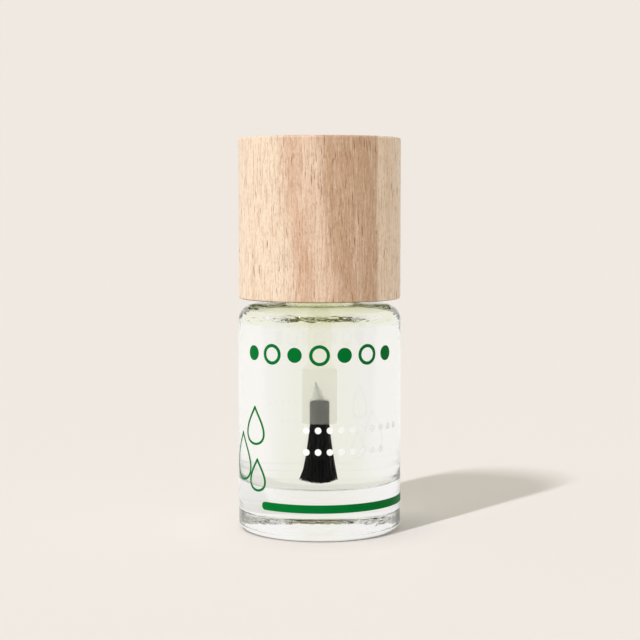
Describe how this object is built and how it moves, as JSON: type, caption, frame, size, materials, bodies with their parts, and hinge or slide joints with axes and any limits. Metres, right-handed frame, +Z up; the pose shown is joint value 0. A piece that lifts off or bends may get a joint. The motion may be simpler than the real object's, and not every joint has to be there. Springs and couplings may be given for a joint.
{
  "type": "cuticle oil bottle",
  "caption": "Round thick-walled glass bottle of oil with a turned wooden screw cap that carries a stem and a flared brush.",
  "frame": {"origin": "centre of the bottle's foot, on the surface that it stands on", "axes": "+Z up along the axis of the bottle and of its cap, -Y towards the printed front, +X to the right seen from the front"},
  "size_m": [0.028, 0.028, 0.0671],
  "materials": {
    "glass": "gloss",
    "oil": "gloss",
    "wood": "satin",
    "insert_plastic": "satin",
    "washer_foam": "matte",
    "stem_plastic": "satin",
    "bristles": "satin",
    "anchor_wire": "satin"
  },
  "bodies": {
    "bottle": {"glass_bottle": "glass", "cuticle_oil": "oil"},
    "seal": {"sealing_washer": "washer_foam"},
    "closure": {"wooden_overcap": "wood", "screw_insert": "insert_plastic", "brush_stem": "stem_plastic", "tuft_anchor": "anchor_wire", "brush_tuft": "bristles"}
  },
  "joints": [
    {"name": "cap_lift", "type": "slide", "parent": "bottle", "child": "seal", "axis": [0, 0, 1], "range_m": [0, 0.046]},
    {"name": "cap_turn", "type": "hinge", "parent": "seal", "child": "closure", "pos_m": [0, 0, 0.05], "axis": [0, 0, 1], "range_deg": [0, 720]}
  ]
}
